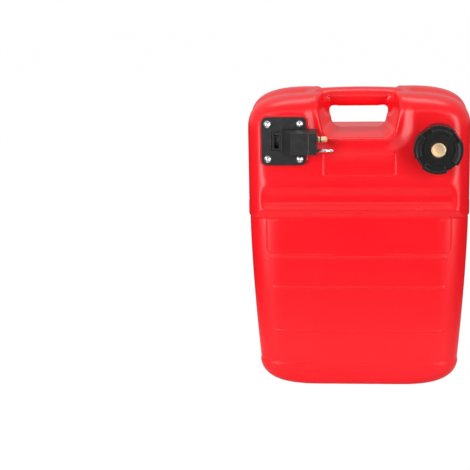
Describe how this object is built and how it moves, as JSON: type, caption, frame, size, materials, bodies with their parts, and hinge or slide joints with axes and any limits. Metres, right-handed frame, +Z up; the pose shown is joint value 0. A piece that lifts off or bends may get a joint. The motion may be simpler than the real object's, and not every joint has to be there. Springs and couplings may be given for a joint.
{
  "type": "outboard fuel tank",
  "caption": "Portable upright fuel tank with a moulded carry handle, screw filler cap with a vent screw, and a gauge flange with a fuel nipple.",
  "frame": {"origin": "middle of the flat base", "axes": "+Z up, +X to the right as seen from the front, front face towards -Y"},
  "size_m": [0.37, 0.205, 0.508],
  "materials": {
    "shell": "satin, slightly grained",
    "black_plastic": "satin, worn paler at the edges",
    "rubber": "matte",
    "brass": "bright, a little dull",
    "steel": "bright plated",
    "clear": "clear",
    "pale_plastic": "satin",
    "foam": "fine closed cells"
  },
  "bodies": {
    "tank": {"tank_shell": "shell", "screw_inserts": "brass", "gauge_flange": "black_plastic", "flange_gasket": "rubber", "flange_screws": "steel", "fuel_nipple": "brass", "nipple_seal": "rubber", "nipple_spring": "steel", "locating_pin": "steel", "gauge_lens": "clear", "float_bracket": "steel", "bracket_screws": "steel", "pivot_pin": "steel", "pickup_tube": "black_plastic", "pickup_strainer": "pale_plastic"},
    "cap_carrier": {"filler_gasket": "rubber"},
    "cap": {"filler_cap": "black_plastic"},
    "vent_carrier": {"vent_seal": "rubber"},
    "vent": {"vent_screw": "brass"},
    "poppet": {"nipple_poppet": "steel"},
    "gauge": {"gauge_drum": "pale_plastic", "float_arm": "steel", "float": "foam", "float_clips": "steel"}
  },
  "joints": [
    {"name": "cap_rise", "type": "slide", "parent": "tank", "child": "cap_carrier", "axis": [0, -1, 0], "range_m": [0, 0.0201]},
    {"name": "cap_turn", "type": "hinge", "parent": "cap_carrier", "child": "cap", "pos_m": [0.129, -0.1055, 0.421], "axis": [0, -1, 0], "range_deg": [0, 1200]},
    {"name": "vent_rise", "type": "slide", "parent": "cap", "child": "vent_carrier", "axis": [0, -1, 0], "range_m": [0, 0.00313]},
    {"name": "vent_turn", "type": "hinge", "parent": "vent_carrier", "child": "vent", "pos_m": [0.129, -0.1125, 0.421], "axis": [0, -1, 0], "range_deg": [0, 901]},
    {"name": "poppet_travel", "type": "slide", "parent": "tank", "child": "poppet", "axis": [-1, 0, 0], "range_m": [0, 0.003], "stiffness_N_per_m": 400, "springref_m": -0.003, "deforming": ["nipple_spring"]},
    {"name": "float_swing", "type": "hinge", "parent": "tank", "child": "gauge", "pos_m": [-0.1344, -0.0717, 0.4328], "axis": [1, 0, 0], "range_deg": [0, 50]}
  ],
  "couplings": [
    {"joint": "cap_rise", "follows": "cap_turn", "m_per_rad": 0.00095493},
    {"joint": "vent_turn", "follows": "vent_rise", "rad_per_m": 5026.5}
  ]
}
